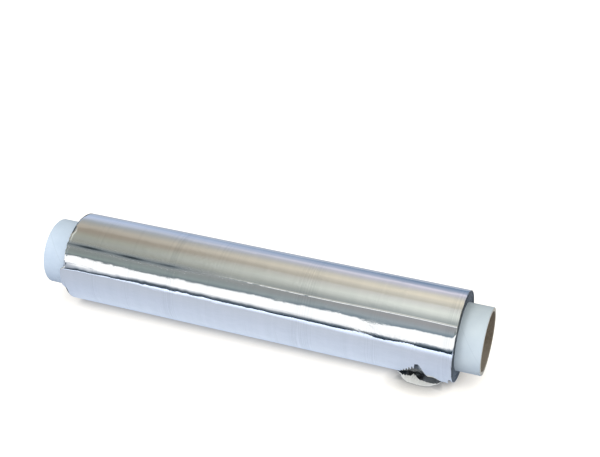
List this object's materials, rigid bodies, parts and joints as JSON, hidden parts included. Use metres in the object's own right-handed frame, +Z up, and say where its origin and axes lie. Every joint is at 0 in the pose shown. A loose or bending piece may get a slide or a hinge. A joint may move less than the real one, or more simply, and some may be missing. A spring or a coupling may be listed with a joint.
{
  "type": "aluminium foil roll",
  "caption": "Roll of bright aluminium foil on a card core that stands out at both ends, lying on its side, with a torn corner at the free edge.",
  "frame": {"origin": "on the table, under the middle of the core", "axes": "+X along the core towards the end with the torn corner, +Z up, -Y towards the side that shows the torn corner"},
  "size_m": [0.34, 0.067, 0.0667],
  "materials": {
    "core_card": "spirally wound card, white paper outside, bare grey-brown card in the bore",
    "foil": "bright rolled side outwards, matt side inwards"
  },
  "bodies": {
    "root": {"core_tube": "core_card", "foil_winding": "foil"}
  },
  "joints": []
}
